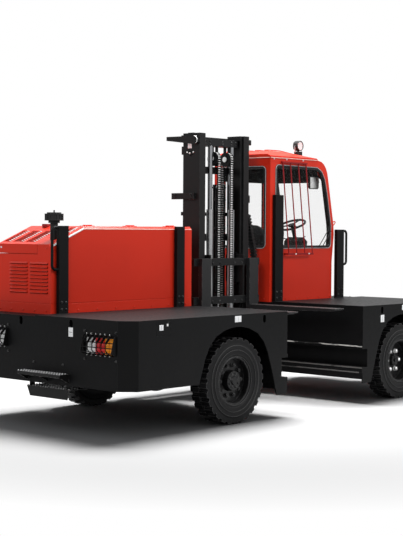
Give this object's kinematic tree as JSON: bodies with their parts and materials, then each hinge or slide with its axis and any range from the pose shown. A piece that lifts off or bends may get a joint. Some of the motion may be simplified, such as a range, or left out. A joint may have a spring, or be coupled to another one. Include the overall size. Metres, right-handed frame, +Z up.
{
  "type": "side loader forklift",
  "caption": "Side loader forklift: load deck split by a well, in which a tilting two-stage mast with forks slides out sideways beside the cab.",
  "frame": {"origin": "on the ground, under the middle of the overall box", "axes": "+X forward, +Y to the vehicle's left (cab side; the load is taken on at -Y), +Z up"},
  "size_m": [5.52, 2.2, 2.9359],
  "materials": {
    "chassis_black": "semi-gloss black paint",
    "mast_black": "satin black paint, oily at the runners",
    "cab_red": "gloss orange-red paint",
    "axle_iron": "black painted castings",
    "steel": "bare steel",
    "tyre_rubber": "black industrial tyre rubber",
    "rim_black": "satin black paint",
    "rod_chrome": "hard chrome rod",
    "chain_steel": "oiled leaf chain",
    "fork_black": "black paint, worn at the blade",
    "window_glass": "clear safety glass",
    "lens_clear": "clear lamp lens",
    "lens_red": "red lamp lens",
    "lens_amber": "amber lamp lens",
    "trim_plastic": "black moulded plastic",
    "seat_fabric": "black seat cloth",
    "seal_rubber": "black window rubber"
  },
  "bodies": {
    "root": {"air_precleaner": "trim_plastic", "cab_glass": "window_glass", "cab_guard_rods": "cab_red", "cab_mirror": "trim_plastic", "cab_roof": "cab_red", "cab_shell": "cab_red", "cab_step": "chassis_black", "control_console": "trim_plastic", "end_steps": "chassis_black", "engine_block": "axle_iron", "front_axle_beam": "axle_iron", "front_body": "chassis_black", "front_lamp_glass": "lens_clear", "front_lamps": "chassis_black", "guard_posts": "chassis_black", "hood_body": "cab_red", "rear_axle": "axle_iron", "rear_body": "chassis_black", "rear_lamp_boxes": "chassis_black", "rear_lenses_amber": "lens_amber", "rear_lenses_red": "lens_red", "rear_lenses_white": "lens_clear", "seat_base": "trim_plastic", "seat_cushions": "seat_fabric", "steering_column": "trim_plastic", "tie_beam": "chassis_black", "window_seals": "seal_rubber", "work_lamp": "trim_plastic", "work_lamp_glass": "lens_clear"},
    "cab_door": {"cab_door": "cab_red", "door_glass": "window_glass"},
    "fork_carriage": {"fork_bars": "mast_black", "fork_carriage": "mast_black", "forks": "fork_black"},
    "hood_lid": {"hood_lid": "cab_red"},
    "mast_outer": {"hose_carrier": "trim_plastic", "lift_barrels": "mast_black", "outer_mast": "mast_black", "outer_mast_ties": "mast_black"},
    "mast_inner": {"inner_mast": "mast_black", "inner_mast_ties": "mast_black", "lift_chains": "chain_steel", "lift_rods": "rod_chrome"},
    "knuckle_left": {"knuckle_left": "axle_iron"},
    "knuckle_right": {"knuckle_right": "axle_iron"},
    "trolley": {"reach_trolley": "mast_black"},
    "wheel_front_left": {"rim_front_left": "rim_black", "tyre_front_left": "tyre_rubber"},
    "wheel_front_right": {"rim_front_right": "rim_black", "tyre_front_right": "tyre_rubber"},
    "wheel_rear_left": {"rim_rear_left": "rim_black", "tyre_rear_left": "tyre_rubber"},
    "wheel_rear_right": {"rim_rear_right": "rim_black", "tyre_rear_right": "tyre_rubber"},
    "tie_rod": {"tie_rod": "steel"},
    "tilt_barrels": {"tilt_barrels": "mast_black"},
    "tilt_rods": {"tilt_rods": "rod_chrome"}
  },
  "joints": [
    {"name": "mast_reach", "type": "slide", "parent": "root", "child": "trolley", "axis": [0, -1, 0], "range_m": [0, 1.3]},
    {"name": "mast_tilt", "type": "hinge", "parent": "trolley", "child": "mast_outer", "pos_m": [0.2645, 0.4475, 0.42], "axis": [1, 0, 0], "range_deg": [-5, 3]},
    {"name": "mast_lift", "type": "slide", "parent": "mast_outer", "child": "mast_inner", "axis": [0, 0, 1], "range_m": [-0.45, 1.15]},
    {"name": "carriage_lift", "type": "slide", "parent": "mast_inner", "child": "fork_carriage", "axis": [0, 0, 1], "range_m": [-0.45, 1.15]},
    {"name": "tilt_barrel_swing", "type": "hinge", "parent": "trolley", "child": "tilt_barrels", "pos_m": [0.2645, 0.72, 0.61], "axis": [1, 0, 0], "range_deg": [-6.51, 3.91]},
    {"name": "tilt_rod_slide", "type": "slide", "parent": "tilt_barrels", "child": "tilt_rods", "axis": [0, -0.2137, 0.9769], "range_m": [-0.02701, 0.0162]},
    {"name": "steer_right", "type": "hinge", "parent": "root", "child": "knuckle_right", "pos_m": [1.688, -0.8, 0.42], "axis": [0, 0, 1], "range_deg": [-35, 35]},
    {"name": "steer_left", "type": "hinge", "parent": "root", "child": "knuckle_left", "pos_m": [1.688, 0.8, 0.42], "axis": [0, 0, 1], "range_deg": [-35, 35]},
    {"name": "tie_rod_swing", "type": "hinge", "parent": "knuckle_right", "child": "tie_rod", "pos_m": [1.503, -0.8, 0.393], "axis": [0, 0, 1], "range_deg": [-35, 35]},
    {"name": "roll_rear_right", "type": "hinge", "parent": "root", "child": "wheel_rear_right", "pos_m": [-1.158, -0.97, 0.42], "axis": [0, 1, 0], "continuous": true},
    {"name": "roll_rear_left", "type": "hinge", "parent": "root", "child": "wheel_rear_left", "pos_m": [-1.158, 0.97, 0.42], "axis": [0, 1, 0], "continuous": true},
    {"name": "roll_front_right", "type": "hinge", "parent": "knuckle_right", "child": "wheel_front_right", "pos_m": [1.688, -0.97, 0.42], "axis": [0, 1, 0], "continuous": true},
    {"name": "roll_front_left", "type": "hinge", "parent": "knuckle_left", "child": "wheel_front_left", "pos_m": [1.688, 0.97, 0.42], "axis": [0, 1, 0], "continuous": true},
    {"name": "door_hinge", "type": "hinge", "parent": "root", "child": "cab_door", "pos_m": [1.872, 1.062, 1.85], "axis": [0, 0, -1], "range_deg": [0, 85]},
    {"name": "lid_hinge", "type": "hinge", "parent": "root", "child": "hood_lid", "pos_m": [-1.4, 0.3975, 1.913], "axis": [1, 0, 0], "range_deg": [0, 70]}
  ],
  "couplings": [
    {"joint": "carriage_lift", "follows": "mast_lift", "ratio": 1},
    {"joint": "tilt_barrel_swing", "follows": "mast_tilt", "ratio": 1.277},
    {"joint": "tilt_rod_slide", "follows": "mast_tilt", "m_per_rad": 0.30341},
    {"joint": "steer_left", "follows": "steer_right", "ratio": 1},
    {"joint": "tie_rod_swing", "follows": "steer_right", "ratio": -1}
  ]
}
